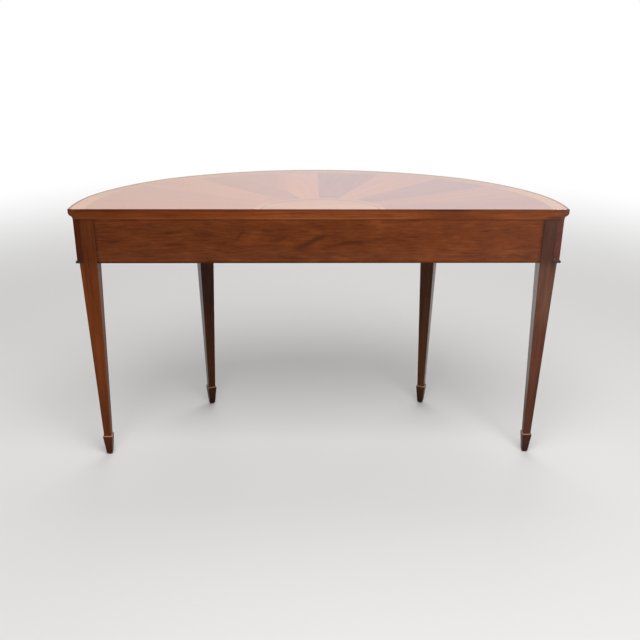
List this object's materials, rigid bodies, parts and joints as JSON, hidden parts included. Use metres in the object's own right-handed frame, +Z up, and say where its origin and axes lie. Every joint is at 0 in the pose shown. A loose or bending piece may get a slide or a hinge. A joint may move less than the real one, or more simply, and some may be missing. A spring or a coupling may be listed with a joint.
{
  "type": "demilune table",
  "caption": "Half-round side table with a sunburst veneered top, moulded edge, straight back rail, bow apron and square tapered legs on spade feet.",
  "frame": {"origin": "on the floor under the middle of the bounding box", "axes": "+X to the right along the straight back edge as seen from behind, +Y from the straight back towards the bow, +Z up"},
  "size_m": [1.372, 0.4569, 0.787],
  "materials": {
    "mahogany": "polished mahogany, straight figure",
    "mahogany_veneer": "polished mahogany veneer, flame figure",
    "bow_core": "bent mahogany laminate, polished end grain",
    "top_edge": "polished mahogany moulding",
    "fan_light": "polished light mahogany veneer",
    "fan_dark": "polished darker mahogany veneer",
    "satinwood": "polished satinwood veneer",
    "ebony": "ebonised wood",
    "lumber_core": "unfinished lumber core",
    "backing": "sealed backing veneer",
    "secondary_wood": "unfinished poplar",
    "screw_steel": "plain steel",
    "glide": "dark matte"
  },
  "bodies": {
    "root": {"fan_veneer_01": "fan_dark", "fan_veneer_02": "fan_light", "fan_veneer_03": "fan_dark", "fan_veneer_04": "fan_light", "fan_veneer_05": "fan_dark", "fan_veneer_06": "fan_light", "fan_veneer_07": "fan_dark", "fan_veneer_08": "fan_light", "fan_veneer_09": "fan_dark", "fan_veneer_10": "fan_light", "crossband_1": "satinwood", "crossband_2": "satinwood", "crossband_3": "satinwood", "crossband_4": "satinwood", "crossband_5": "satinwood", "medallion_ring": "satinwood", "medallion_panel": "satinwood", "medallion_line": "ebony", "edge_moulding": "top_edge", "back_lip": "top_edge", "back_apron": "mahogany", "rear_leg_left": "mahogany", "rear_leg_right": "mahogany", "front_leg_left": "mahogany", "front_leg_right": "mahogany", "bow_veneer": "mahogany_veneer", "bow_apron": "bow_core", "apron_bead": "ebony", "cross_rail_left": "secondary_wood", "cross_rail_right": "secondary_wood", "cross_rail_block_left": "secondary_wood", "cross_rail_block_right": "secondary_wood", "back_cleat": "secondary_wood", "rear_rail_block_left": "secondary_wood", "rear_rail_block_right": "secondary_wood", "rear_bow_block_left": "secondary_wood", "rear_bow_block_right": "secondary_wood", "front_leg_block_outer_left": "secondary_wood", "front_leg_block_outer_right": "secondary_wood", "front_leg_block_inner_left": "secondary_wood", "front_leg_block_inner_right": "secondary_wood", "top_core": "lumber_core", "backing_veneer": "backing", "top_screws": "screw_steel", "cleat_screws": "screw_steel", "block_screws": "screw_steel", "foot_glides": "glide"}
  },
  "joints": []
}
